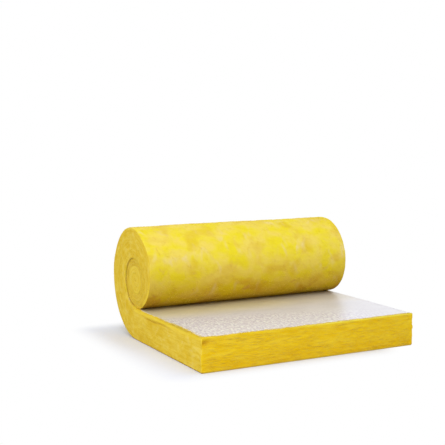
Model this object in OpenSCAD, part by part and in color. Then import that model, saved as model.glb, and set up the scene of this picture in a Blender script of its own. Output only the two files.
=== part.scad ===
// Half unrolled roll of faced glass wool. One long mat lies flat at its cut end, lifts off
// the floor, and winds back over itself into a coil. Inside the coil the mat is pressed thin,
// and it springs back to its full thickness along the lead turn. The roll is one solid, and
// its turns and its eye are cut into both of its ends. X runs along the roll, the cut end
// faces -Y and the mat lies on Z = 0. All lengths are in millimetres.

/* [Mat] */
// Width of the mat, which is also the length of the roll
mat_width = 1200; // [400:10:1500]
// Thickness of the mat where it lies free
mat_thickness = 164; // [80:1:220]
// Thickness that the mat keeps where it is wound tight
wound_thickness = 38; // [24:1:60]
// Thickness of the foil facing bonded to the inner side of the mat
facing_thickness = 0.3; // [0.2:0.1:1]

/* [Flat end] */
// Length that lies on the floor, from the cut end to the place where the mat lifts off
flat_length = 775; // [400:5:2000]

/* [Coil] */
// Radius of the tight coil that rests on the flat end
coil_radius = 139; // [100:1:220]
// Radius left open inside the facing at the inner end of the mat
eye_radius = 5; // [3:1:12]
// Thickness that the inner end of the mat is pressed to as it closes the eye
end_thickness = 10; // [6:1:20]
// Clearance between the facing and the turn that it wraps
turn_gap = 0.6; // [0.3:0.1:2]
// Depth to which the seam between the turns, with its facing, is cut into each end
seam_depth = 12; // [4:1:40]
// Widest gap between the coil and the lead turn, at the back
back_gap = 2.5; // [2:0.1:6]
// Share by which the coil stands taller than a circle, and is shallower than one
coil_tall = 0.016; // [0:0.001:0.08]
// Backward lean of the coil for each unit of height
coil_lean = 0.02; // [0:0.001:0.1]

/* [Lead turn] */
// Angle from lift-off up to which the mat keeps its full thickness
loft_angle = 146; // [60:1:180]
// Angle from lift-off at which the mat is pressed to its wound thickness
pressed_angle = 346; // [240:1:350]
// Extra thickness where the outer side of the bend bulges
bend_swell = 7; // [0:1:60]
// Angle from lift-off at which that bulge has died away
swell_angle = 175; // [110:1:179]

/* [Hidden] */

TURN = 360;
// Angles covered by one straight step of the curves, in the lead turn and in the coil
LEAD_STEP = 5;
COIL_STEP = 10;

// Turn pitch where the mat lies free under the coil, measured along the radius
free_pitch = mat_thickness / (1 + coil_tall) + facing_thickness + turn_gap;
// Turn pitch inside the coil
tight_pitch = wound_thickness + facing_thickness + turn_gap;
// Least radius of the mat's inner side, and the winding angle at which the mat ends there
eye_side = eye_radius + facing_thickness;
end_angle = TURN * (1 + (coil_radius - eye_side - end_thickness) / tight_pitch);
angles = concat(
    [for (a = [0:LEAD_STEP:TURN - LEAD_STEP]) a],
    [for (a = [TURN:COIL_STEP:end_angle]) a]
);

// Radius of the outer surface at lift-off, and height of the winding axis
lift_radius = outer_radius(0);
axis_height = lift_radius * (1 + coil_tall);
// Lowest height that the outer surface of the coil may take on the facing of the flat end
seat_height = mat_thickness + facing_thickness + turn_gap;

outer_curve = [for (a = angles) wound_point(a, outer_radius(a))];
inner_curve = [for (a = angles) wound_point(a, inner_radius(a))];
facing_curve = [for (a = angles) wound_point(a, inner_radius(a) - facing_thickness)];
// The parts of the outer curve around the whole roll, and inside it
skin_curve = [for (a = angles) if (a <= TURN) wound_point(a, outer_radius(a))];
coil_curve = [for (a = angles) if (a >= TURN) wound_point(a, outer_radius(a))];
// Depth over all, from the cut end to the back of the roll
full_depth = max([for (p = outer_curve) p[0]]);

// Eased step from 0 to 1, level at both ends
function eased(t) = let (u = min(1, max(0, t))) u * u * (3 - 2 * u);

// Bulge of the bend at angle a, a rounded wave between lift-off and swell_angle
function swell(a) = a < swell_angle ? bend_swell * pow(sin(180 * a / swell_angle), 2) : 0;

// Distance along the radius from the outer surface at angle a to the same surface one turn
// further in: the mat, its facing and the gap
function turn_pitch(a) =
    a >= TURN
        ? tight_pitch
        : tight_pitch
            + (free_pitch - tight_pitch) * eased((pressed_angle - a) / (pressed_angle - loft_angle))
            + swell(a);

// Radius of the outer surface. Past one turn it is an even spiral, and the lead turn lies
// on top of that spiral by its own pitch
function outer_radius(a) =
    a >= TURN
        ? coil_radius - tight_pitch * (a - TURN) / TURN
        : outer_radius(a + TURN) + turn_pitch(a);

// Gap inside the turn at angle a, which opens to back_gap half way up the lead turn
function gap_at(a) = turn_gap + (a < 180 ? (back_gap - turn_gap) * pow(sin(a), 2) : 0);

// Radius of the mat's inner side, which carries the facing. Around the eye the mat is
// pressed thinner, so that its inner side keeps to the eye
function inner_radius(a) =
    max(eye_side, outer_radius(a) - turn_pitch(a) + facing_thickness + gap_at(a));

// Point of the winding at angle a from the floor and radius r, made taller and leaned back.
// The first turn of the coil is flattened where it rests on the facing of the flat end
function wound_point(a, r) =
    let (
        raw = axis_height - r * cos(a) * (1 + coil_tall),
        z = a > 180 ? max(raw, seat_height) : raw,
        y = flat_length + r * sin(a) * (1 - coil_tall) + coil_lean * raw
    )
    [y, z];

// The points of a list from the last to the first
function reversed(list) = [for (i = [len(list) - 1:-1:0]) list[i]];

// Solid along the roll from x to x + width, whose cross-section is given as [depth, height]
// points
module along_roll(section, x, width) {
    translate([x, -full_depth / 2, 0])
        rotate([90, 0, 90])
            linear_extrude(width)
                polygon(section);
}

// The mat from the cut end, under the coil and around the lead turn. The seam between its
// turns is open at both ends of the roll
module wool_blanket() {
    mat_section = concat([[0, 0]], skin_curve, [inner_curve[0], [0, mat_thickness]]);
    seam_section = concat(inner_curve, reversed(coil_curve));
    color("gold")
        difference() {
            along_roll(mat_section, -mat_width / 2, mat_width);
            for (x = [-mat_width / 2 - 1, mat_width / 2 - seam_depth])
                along_roll(seam_section, x, seam_depth + 1);
        }
}

// The facing on the upper side of the flat end, and on the inner side of every turn in the
// seams at the ends of the roll
module foil_facing() {
    cut_edge = [[0, mat_thickness + facing_thickness], [0, mat_thickness]];
    flat_section = concat(cut_edge, [inner_curve[0], facing_curve[0]]);
    wound_section = concat(cut_edge, inner_curve, reversed(facing_curve));
    color("gainsboro")
        union() {
            along_roll(flat_section, -mat_width / 2, mat_width);
            for (x = [-mat_width / 2, mat_width / 2 - seam_depth])
                along_roll(wound_section, x, seam_depth);
        }
}

wool_blanket();
foil_facing();
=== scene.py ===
"""Looks of a half unrolled roll of faced glass wool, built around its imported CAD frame.

The mat is one closed surface: its cross profile is carried along the winding from the cut
end, under the coil, around the lead turn and into the eye. The facing is a thin closed
sheet on the mat's inner side, and loose fibres lie on every face that shows. X runs along
the roll, the cut end faces -Y and the mat lies on Z = 0. Lengths are metres, and angles
of the winding are degrees. A range is a pair of values, from the start of a step or of a
random choice to its end.
"""

import sys

import logging
import math
from dataclasses import dataclass
from enum import Enum
from itertools import product

import bpy
import numpy as np
from mathutils import Euler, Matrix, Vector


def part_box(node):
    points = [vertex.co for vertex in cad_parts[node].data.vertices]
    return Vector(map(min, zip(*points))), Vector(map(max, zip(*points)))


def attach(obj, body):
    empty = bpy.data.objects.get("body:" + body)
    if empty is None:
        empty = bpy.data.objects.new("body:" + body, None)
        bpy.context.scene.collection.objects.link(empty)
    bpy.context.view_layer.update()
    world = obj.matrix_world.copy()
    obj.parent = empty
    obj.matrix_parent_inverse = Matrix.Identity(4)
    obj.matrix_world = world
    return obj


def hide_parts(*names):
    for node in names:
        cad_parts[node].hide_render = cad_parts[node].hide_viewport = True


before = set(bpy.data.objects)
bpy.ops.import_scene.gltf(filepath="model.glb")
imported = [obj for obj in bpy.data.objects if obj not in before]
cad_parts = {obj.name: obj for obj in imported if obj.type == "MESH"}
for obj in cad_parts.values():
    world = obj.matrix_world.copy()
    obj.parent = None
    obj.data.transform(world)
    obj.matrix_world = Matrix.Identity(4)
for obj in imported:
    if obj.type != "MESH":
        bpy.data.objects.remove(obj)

LOG = logging.getLogger("insulation_roll")
BODY = "root"
TURN = 360.0
WHITE = (1.0, 1.0, 1.0, 1.0)

# Whole numbers that the cell hash works with: for the seed, the three axes and the folding,
# the two shifts of the high bits, and the 32 bits that it keeps
HASH_SEED = (7919, 1013)
HASH_AXES = (0x85EBCA6B, 0xC2B2AE35, 0x27D4EB2F)
HASH_FOLD = np.uint64(0x2C1B3C6D)
HASH_SHIFTS = (np.uint64(15), np.uint64(12))
HASH_BITS = np.uint64(0xFFFFFFFF)
# Step of the seed from one octave of noise to the next
OCTAVE_SEED = 31
# Length below which a vector has no direction
TINY = 1e-9


# Numbers and noise


def eased(value: np.ndarray, low: float = 0.0, high: float = 1.0) -> np.ndarray:
    """Smooth step 3u^2 - 2u^3, where u is the clamped share of the way from low to high."""
    share = np.clip((value - low) / (high - low), 0.0, 1.0)
    return share * share * (3.0 - 2.0 * share)


def window(value: np.ndarray, rise: tuple, fall: tuple) -> np.ndarray:
    """Ease from 0 to 1 over one range of values, and back to 0 over a later one."""
    return eased(value, *rise) * (1.0 - eased(value, *fall))


def cell_numbers(cells: np.ndarray, seed: int) -> np.ndarray:
    """Give every whole-number cell its own fixed number.

    The coordinates are mixed in by multiplying with large odd numbers and folding the high
    bits down, as an integer hash does.

    Args:
        cells: Whole numbers, shape (..., 3).
        seed: Chooses one of many such patterns.

    Returns:
        Numbers from 0 to 1, shape (...).
    """
    first = seed * HASH_SEED[0] + HASH_SEED[1]
    mixed = np.full(cells.shape[:-1], first, dtype=np.uint64)
    for axis, factor in enumerate(HASH_AXES):
        part = cells[..., axis].astype(np.int64).astype(np.uint64) & HASH_BITS
        mixed = ((mixed ^ part) * np.uint64(factor)) & HASH_BITS
        mixed = ((mixed ^ (mixed >> HASH_SHIFTS[0])) * HASH_FOLD) & HASH_BITS
    return (mixed ^ (mixed >> HASH_SHIFTS[1])).astype(np.float64) / 2.0**32


def soft_noise(points: np.ndarray, size: tuple, seed: int, octaves: int = 2) -> np.ndarray:
    """Smooth noise of soft lumps.

    Each point blends the numbers of the eight cell corners around it by eased shares, and
    every further octave adds the same at half the size and half the height.

    Args:
        points: Places, shape (..., 3).
        size: Lump size along each of the three coordinates.
        seed: Chooses the pattern.
        octaves: Number of layers.

    Returns:
        Heights from about -1 to 1, shape (...).
    """
    total = np.zeros(points.shape[:-1])
    reach = 0.0
    for octave in range(octaves):
        scaled = points / (np.asarray(size) * 0.5**octave)
        cell = np.floor(scaled)
        share = eased(scaled - cell)
        layer = np.zeros(points.shape[:-1])
        for corner in product((0, 1), repeat=3):
            weight = np.prod(np.where(corner, share, 1.0 - share), axis=-1)
            layer += weight * cell_numbers(cell + corner, seed + OCTAVE_SEED * octave)
        total += (2.0 * layer - 1.0) * 0.5**octave
        reach += 0.5**octave
    return total / reach


def triple(a: np.ndarray, b: np.ndarray, c: np.ndarray) -> np.ndarray:
    """Stack three arrays of any matching shapes into points of shape (..., 3)."""
    return np.stack(np.broadcast_arrays(a, b, c), axis=-1)


def unit(vectors: np.ndarray) -> np.ndarray:
    """Scale vectors of shape (..., k) to a length of one."""
    return vectors / np.maximum(np.linalg.norm(vectors, axis=-1, keepdims=True), TINY)


def closed(number: np.ndarray) -> np.ndarray:
    """Repeat the first column of a grid as its last, so that its rows run all around."""
    return np.concatenate([number, number[..., :1]], axis=-1)


def grid_quads(number: np.ndarray) -> np.ndarray:
    """Four-sided faces between the neighbours of a grid.

    Args:
        number: Vertex numbers of the grid, shape (..., rows, columns).

    Returns:
        Faces of shape (n, 4), each from a vertex to the next column, the next row and back.
    """
    here, beside = number[..., :-1, :-1], number[..., :-1, 1:]
    across, below = number[..., 1:, 1:], number[..., 1:, :-1]
    return np.stack([here, beside, across, below], axis=-1).reshape(-1, 4)


def mesh_object(
    name: str, vertices: np.ndarray, faces: list, attributes: dict
) -> bpy.types.Object:
    """Make a smooth-shaded mesh object at the origin from whole arrays.

    Args:
        name: Name of the piece.
        vertices: Points in metres, shape (n, 3).
        faces: Arrays of vertex numbers, one of shape (m, corners) for each kind of face.
        attributes: Vertex attributes by name, of shape (n, 3) for vectors and (n,) for
            numbers.

    Returns:
        The new object, linked to the scene and riding on the one body.
    """
    mesh = bpy.data.meshes.new(name)
    numbers = np.concatenate([kind.ravel() for kind in faces])
    sides = np.concatenate([np.full(len(kind), kind.shape[1]) for kind in faces])
    starts = np.cumsum(sides) - sides
    mesh.vertices.add(len(vertices))
    mesh.vertices.foreach_set("co", vertices.astype(np.float32).ravel())
    mesh.loops.add(len(numbers))
    mesh.loops.foreach_set("vertex_index", numbers.astype(np.int32))
    mesh.polygons.add(len(starts))
    mesh.polygons.foreach_set("loop_start", starts.astype(np.int32))
    mesh.update(calc_edges=True)
    for key, data in attributes.items():
        kind, slot = ("FLOAT_VECTOR", "vector") if data.ndim == 2 else ("FLOAT", "value")
        layer = mesh.attributes.new(key, kind, "POINT")
        layer.data.foreach_set(slot, data.astype(np.float32).ravel())
    mesh.shade_smooth()
    piece = bpy.data.objects.new(name, mesh)
    bpy.context.scene.collection.objects.link(piece)
    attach(piece, BODY)
    LOG.info("%s: %d vertices, %d triangles", name, len(vertices), (sides - 2).sum())
    return piece


# Shader expressions


@dataclass(frozen=True)
class Pattern:
    """Noise of soft lumps in a material.

    size is the lumps' size along each coordinate in metres, detail the number of finer
    layers, roughness their strength, warp the distortion, and shift the offset in lumps
    that gives each use its own pattern.
    """

    size: tuple
    detail: float = 2.0
    roughness: float = 0.5
    warp: float = 0.0
    shift: tuple = (0.0, 0.0, 0.0)


class Lay(Enum):
    """Ways to lay one colour over another, by the names of the Mix node."""

    COVER = "MIX"
    TINT = "MULTIPLY"


@dataclass(frozen=True)
class Accent:
    """Colour that comes in over a range of a noise or a coordinate.

    steps is the range, share the strength at its end, and more what a mask adds to that.
    """

    colour: tuple
    steps: tuple
    share: float
    more: float = 0.0
    lay: Lay = Lay.COVER


class Bench:
    """Workbench on which the nodes of one material, or of the world, are laid out."""

    # Sockets of a Mix node that blends colours: its share, its two colours and its result
    SHARE, LOW, HIGH, MIXED = 0, 6, 7, 2

    def __init__(self, owner: bpy.types.Material | bpy.types.World) -> None:
        """Start with no nodes.

        Args:
            owner: The material or the world that the nodes belong to.
        """
        owner.use_nodes = True
        self.owner = owner
        self.tree = owner.node_tree
        self.tree.nodes.clear()

    def node(
        self, kind: str, settings: dict | None = None, inputs: dict | None = None
    ) -> bpy.types.Node:
        """Add one node.

        Args:
            kind: The node's type without its ShaderNode prefix.
            settings: Properties of the node, which are set first.
            inputs: Values or terms for its sockets, by name or number.

        Returns:
            The node.
        """
        made = self.tree.nodes.new("ShaderNode" + kind)
        for key, value in (settings or {}).items():
            setattr(made, key, value)
        for key, value in (inputs or {}).items():
            if isinstance(value, Term):
                self.tree.links.new(value.socket, made.inputs[key])
            else:
                made.inputs[key].default_value = value
        return made

    def term(
        self,
        kind: str,
        settings: dict | None = None,
        inputs: dict | None = None,
        output: int | str = 0,
    ) -> "Term":
        """Add one node and give one of its outputs, by number or name, as a term."""
        return Term(self, self.node(kind, settings, inputs).outputs[output])

    def attribute(self, name: str, output: str = "Fac") -> "Term":
        """Read an attribute of the mesh, as a number (Fac) or as a Vector."""
        return self.term("Attribute", {"attribute_name": name}, output=output)

    def vector(self, operation: str, a: object, b: object, output: str = "Vector") -> "Term":
        """Work on two vectors with a Vector Math node."""
        return self.term("VectorMath", {"operation": operation}, {0: a, 1: b}, output)

    def noise(self, place: "Term", pattern: Pattern) -> "Term":
        """Noise of a pattern's lumps.

        Args:
            place: Coordinates in metres.
            pattern: Size and character of the lumps.

        Returns:
            A number of about 0.25 to 0.75 around 0.5.
        """
        scaled = self.vector("MULTIPLY", place, tuple(1.0 / size for size in pattern.size))
        inputs = {
            "Vector": self.vector("ADD", scaled, pattern.shift),
            "Scale": 1.0,
            "Detail": pattern.detail,
            "Roughness": pattern.roughness,
            "Distortion": pattern.warp,
        }
        return self.term("TexNoise", inputs=inputs)

    def mix(self, share: object, low: object, high: object, lay: Lay = Lay.COVER) -> "Term":
        """Lay one colour over another by a share from 0 to 1.

        Args:
            share: Share of the second colour.
            low: First colour.
            high: Second colour.
            lay: How the second colour is laid over the first.

        Returns:
            The colour.
        """
        settings = {"data_type": "RGBA", "blend_type": lay.value}
        inputs = {self.SHARE: share, self.LOW: low, self.HIGH: high}
        return self.term("Mix", settings, inputs, self.MIXED)

    def tinted(self, share: object, colour: "Term", tint: tuple) -> "Term":
        """Multiply a colour by a tint, by a share from 0 to 1."""
        return self.mix(share, colour, tint, Lay.TINT)

    def accent(
        self, colour: "Term", value: "Term", accent: Accent, mask: "Term | None" = None
    ) -> "Term":
        """Lay an accent over a colour.

        Args:
            colour: The colour so far.
            value: Noise or coordinate over whose range the accent comes in.
            accent: The accent.
            mask: Mask of the places where it is stronger.

        Returns:
            The colour with the accent on it.
        """
        strength = accent.share if mask is None else accent.share + accent.more * mask
        share = value.step(*accent.steps) * strength
        return self.mix(share, colour, accent.colour, accent.lay)

    def bump(self, height: "Term", relief: tuple, under: "Term | None" = None) -> "Term":
        """Turn a height into a normal.

        Args:
            height: Height from 0 to 1.
            relief: Strength of the relief, and height in metres that 1 stands for.
            under: Normal of a coarser relief that this one lies on.

        Returns:
            The normal.
        """
        inputs = {"Height": height, "Strength": relief[0], "Distance": relief[1]}
        if under is not None:
            inputs["Normal"] = under
        return self.term("Bump", inputs=inputs)

    def shows_white(self) -> "Term":
        """Mask the rays that show the white background.

        Returns:
            1 for a ray that is seen, mirrored or seen through something, and 0 for others.
        """
        rays = self.node("LightPath").outputs
        names = ("Is Camera Ray", "Is Glossy Ray", "Is Transmission Ray")
        seen, mirrored, through = (Term(self, rays[name]) for name in names)
        return (seen + mirrored + through).clamped()

    def finish(self, shader: "Term") -> bpy.types.Material | bpy.types.World:
        """Send a shader to the output.

        Args:
            shader: The finished shader.

        Returns:
            The material or the world that the nodes belong to.
        """
        kind = "World" if isinstance(self.owner, bpy.types.World) else "Material"
        self.node("Output" + kind, inputs={"Surface": shader})
        return self.owner


class Term:
    """One value, vector, colour or shader, whose arithmetic adds nodes."""

    def __init__(self, bench: Bench, socket: bpy.types.NodeSocket) -> None:
        """Hold an output socket of a node on a bench."""
        self.bench = bench
        self.socket = socket

    def _math(self, operation: str, *values: object, clamp: bool = False) -> "Term":
        """Add a Math node on the given values."""
        settings = {"operation": operation, "use_clamp": clamp}
        return self.bench.term("Math", settings, dict(enumerate(values)))

    def __add__(self, other: object) -> "Term":
        """Sum."""
        return self._math("ADD", self, other)

    __radd__ = __add__

    def __mul__(self, other: object) -> "Term":
        """Product."""
        return self._math("MULTIPLY", self, other)

    __rmul__ = __mul__

    def __sub__(self, other: object) -> "Term":
        """Difference."""
        return self._math("SUBTRACT", self, other)

    def __rsub__(self, other: object) -> "Term":
        """Difference from a number, as in 1 - mask."""
        return self._math("SUBTRACT", other, self)

    def clamped(self) -> "Term":
        """The value held between 0 and 1."""
        return self._math("ADD", self, 0.0, clamp=True)

    def step(self, low: float, high: float) -> "Term":
        """Smooth step of the value.

        Args:
            low: Value at which the step starts.
            high: Value at which it ends, which may be below low.

        Returns:
            A number from 0 to 1.
        """
        settings = {"interpolation_type": "SMOOTHSTEP", "clamp": True}
        inputs = {"Value": self, "From Min": low, "From Max": high}
        return self.bench.term("MapRange", settings, inputs)

    def axis(self, number: int) -> "Term":
        """One coordinate of a vector."""
        return self.bench.term("SeparateXYZ", inputs={0: self}, output=number)


def blend(weights: tuple, *values: Term) -> Term:
    """Add up values by their weights."""
    first, *rest = (value * weight for value, weight in zip(values, weights))
    return sum(rest, start=first)


def srgb(red: float, green: float, blue: float) -> tuple:
    """Give a colour written in screen values of 0 to 255 as linear shader values.

    Args:
        red: Red on the screen.
        green: Green on the screen.
        blue: Blue on the screen.

    Returns:
        Linear red, green, blue and an alpha of 1.
    """
    shares = (c / 255.0 for c in (red, green, blue))
    linear = (c / 12.92 if c <= 0.04045 else ((c + 0.055) / 1.055) ** 2.4 for c in shares)
    return (*linear, 1.0)


# The winding


@dataclass(frozen=True)
class Winding:
    """Shape of the wound mat in the YZ plane, with the CAD source's sizes but a closed eye.

    Over the top of the lead turn the left end comes to sit in by set_in, and the coil keeps
    that. At the foot of the coil it sits in by foot_in more.
    """

    width: float = 1.2
    thickness: float = 0.164
    wound: float = 0.038
    facing: float = 0.0003
    flat: float = 0.775
    coil_radius: float = 0.139
    eye_radius: float = 0.0012
    end_thickness: float = 0.010
    turn_gap: float = 0.0006
    back_gap: float = 0.0025
    tall: float = 0.016
    lean: float = 0.020
    loft_angle: float = 146.0
    pressed_angle: float = 346.0
    swell: float = 0.007
    swell_angle: float = 175.0
    set_in: float = 0.0065
    set_in_angles: tuple = (205.0, 240.0)
    foot_in: float = 0.0060
    foot_angles: tuple = (285.0, 312.0)
    foot_heights: tuple = (0.205, 0.168)

    @property
    def tight_pitch(self) -> float:
        """Turn pitch inside the coil."""
        return self.wound + self.facing + self.turn_gap

    @property
    def eye_side(self) -> float:
        """Least radius of the mat's inner side."""
        return self.eye_radius + self.facing

    @property
    def end_angle(self) -> float:
        """Winding angle at which the mat ends in the eye."""
        depth = self.coil_radius - self.eye_side - self.end_thickness
        return TURN * (1 + depth / self.tight_pitch)

    @property
    def axis_height(self) -> float:
        """Height of the winding axis."""
        return float(self.outer_radius(np.zeros(1))[0]) * (1 + self.tall)

    def turn_pitch(self, angle: np.ndarray) -> np.ndarray:
        """Distance along the radius between one outer surface and the next.

        It is the tight pitch in the coil, and rises by an eased step to the free pitch along
        the lead turn, with a rounded wave on top where the bend bulges.

        Args:
            angle: Winding angles.

        Returns:
            Pitches, of the angles' shape.
        """
        free = self.thickness / (1 + self.tall) + self.facing + self.turn_gap
        rise = (free - self.tight_pitch) * eased(angle, self.pressed_angle, self.loft_angle)
        wave = self.swell * np.sin(np.radians(TURN / 2 * angle / self.swell_angle)) ** 2
        lead = self.tight_pitch + rise + np.where(angle < self.swell_angle, wave, 0.0)
        return np.where(angle >= TURN, self.tight_pitch, lead)

    def outer_radius(self, angle: np.ndarray) -> np.ndarray:
        """Radius of the outer surface: an even spiral, with the lead turn on top of it.

        Args:
            angle: Winding angles.

        Returns:
            Radii, of the angles' shape.
        """
        spiral = self.coil_radius - self.tight_pitch * (angle - TURN) / TURN
        lead = spiral - self.tight_pitch + self.turn_pitch(angle)
        return np.where(angle >= TURN, spiral, lead)

    def inner_radius(self, angle: np.ndarray) -> np.ndarray:
        """Radius of the mat's inner side, which keeps a gap to the turn inside it.

        The gap opens as a rounded wave up to the back gap, half way up the lead turn.

        Args:
            angle: Winding angles.

        Returns:
            Radii, of the angles' shape.
        """
        wave = np.where(angle < TURN / 2, np.sin(np.radians(angle)) ** 2, 0.0)
        gap = self.turn_gap + (self.back_gap - self.turn_gap) * wave
        radius = self.outer_radius(angle) - self.turn_pitch(angle) + self.facing + gap
        return np.maximum(self.eye_side, radius)

    def point(self, angle: np.ndarray, radius: np.ndarray) -> np.ndarray:
        """Place of a point of the winding, measured from the cut end and the floor.

        The angle is taken from the floor. The circle is made taller and leans back, and the
        coil is flattened where it rests on the flat end.

        Args:
            angle: Winding angles.
            radius: Radii, of the same shape.

        Returns:
            Depths and heights, shape (..., 2).
        """
        raw = self.axis_height - radius * np.cos(np.radians(angle)) * (1 + self.tall)
        seat = self.thickness + self.facing + self.turn_gap
        height = np.where(angle > TURN / 2, np.maximum(raw, seat), raw)
        depth = self.flat + radius * np.sin(np.radians(angle)) * (1 - self.tall) + self.lean * raw
        return np.stack([depth, height], axis=-1)

    def reach(self, side: float, angle: np.ndarray, height: np.ndarray) -> np.ndarray:
        """How far the mat reaches along X on one of its sides.

        Args:
            side: -1 for the left side and 1 for the right one.
            angle: Winding angles.
            height: Heights above the floor.

        Returns:
            Distances from the middle, of the arguments' common shape.
        """
        turned = self.set_in * eased(angle, *self.set_in_angles)
        low = eased(height, *self.foot_heights) * eased(angle, *self.foot_angles)
        return self.width / 2 - (turned + self.foot_in * low) * (side < 0)


class Track:
    """Stations along the mat from its cut end to the eye.

    At each station the track holds the winding angle, the outer and the inner point of the
    mat and the distance along the outer side. On the flat end both points slide evenly to
    lift-off, and then they follow the winding.
    """

    # Numbers of stations on the flat end, in the lead turn and in the coil
    FLAT, LEAD, COIL = 88, 206, 112
    # The flat end's first stations, and where its even ones start
    FIRST, EVEN_FROM = (0.0, 0.0008, 0.002, 0.0035, 0.006), 0.012
    # How closely the stations follow the length of the lead turn and of the coil
    LEAD_POWER, COIL_POWER = 1.0, 0.5
    FINE_STEPS = 4000

    def __init__(self, winding: Winding, front: float) -> None:
        """Lay out the stations.

        Args:
            winding: Shape of the winding.
            front: Y of the cut end.
        """
        self.winding = winding
        even = np.linspace(self.EVEN_FROM, winding.flat, self.FLAT - len(self.FIRST))
        share = np.concatenate([self.FIRST, even[:-1]]) / winding.flat
        lead = self._spaced(0.0, TURN, self.LEAD, self.LEAD_POWER)
        coil = self._spaced(TURN, winding.end_angle, self.COIL, self.COIL_POWER)[1:]
        angle = np.concatenate([lead, coil])
        outer = winding.point(angle, winding.outer_radius(angle))
        inner = winding.point(angle, winding.inner_radius(angle))
        top = np.full(len(share), winding.thickness)
        flat_outer = share[:, None] * outer[0]
        flat_inner = np.stack([share * inner[0, 0], top], axis=1)
        self.angle = np.concatenate([np.zeros(len(share)), angle])
        self.outer = np.concatenate([flat_outer, outer]) + (front, 0.0)
        self.inner = np.concatenate([flat_inner, inner]) + (front, 0.0)
        self.depth = np.linalg.norm(self.inner - self.outer, axis=1)
        self.across = (self.inner - self.outer) / self.depth[:, None]
        self.along = self._lengths(self.outer)
        self.normal = self._outward(self.outer)
        self.inward = -self._outward(self.inner)

    def _spaced(self, first: float, last: float, count: int, power: float) -> np.ndarray:
        """Choose winding angles so that each step holds the same sum of weights.

        A weight is the length of a fine step along the outer side, to a power.

        Args:
            first: First angle.
            last: Last angle.
            count: Number of angles to choose.
            power: 1 for steps of even length, and less for closer ones near the eye.

        Returns:
            The chosen angles, shape (count,).
        """
        fine = np.linspace(first, last, self.FINE_STEPS + 1)
        line = self.winding.point(fine, self.winding.outer_radius(fine))
        steps = np.linalg.norm(np.diff(line, axis=0), axis=1)
        total = np.concatenate([[0.0], np.cumsum(steps**power)])
        return np.interp(np.linspace(0.0, total[-1], count), total, fine)

    @staticmethod
    def _lengths(line: np.ndarray) -> np.ndarray:
        """Length along a line up to each of its points."""
        steps = np.linalg.norm(np.diff(line, axis=0), axis=1)
        return np.concatenate([[0.0], np.cumsum(steps)])

    @staticmethod
    def _outward(line: np.ndarray) -> np.ndarray:
        """Unit normals of a line, turned a quarter to the right of its direction."""
        ahead = unit(np.gradient(line, axis=0))
        return np.stack([ahead[:, 1], -ahead[:, 0]], axis=1)

    def at(self, along: np.ndarray, name: str) -> np.ndarray:
        """One of the track's arrays between its stations.

        Args:
            along: Distances along the outer side.
            name: Name of the array.

        Returns:
            Values of shape (...) or (..., 2).
        """
        data = getattr(self, name)
        if data.ndim == 1:
            return np.interp(along, self.along, data)
        return np.stack([np.interp(along, self.along, data[:, k]) for k in (0, 1)], axis=-1)


# The pieces


@dataclass(frozen=True)
class Lumps:
    """One layer of soft unevenness: its height, the size of its lumps and its pattern."""

    height: float
    size: tuple
    seed: int

    def at(self, a: np.ndarray, b: np.ndarray, c: float = 0.0) -> np.ndarray:
        """Height of the layer at coordinates a and b, in the pattern of number c."""
        return self.height * soft_noise(triple(a, b, c), (*self.size, 1.0), self.seed)


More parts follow.
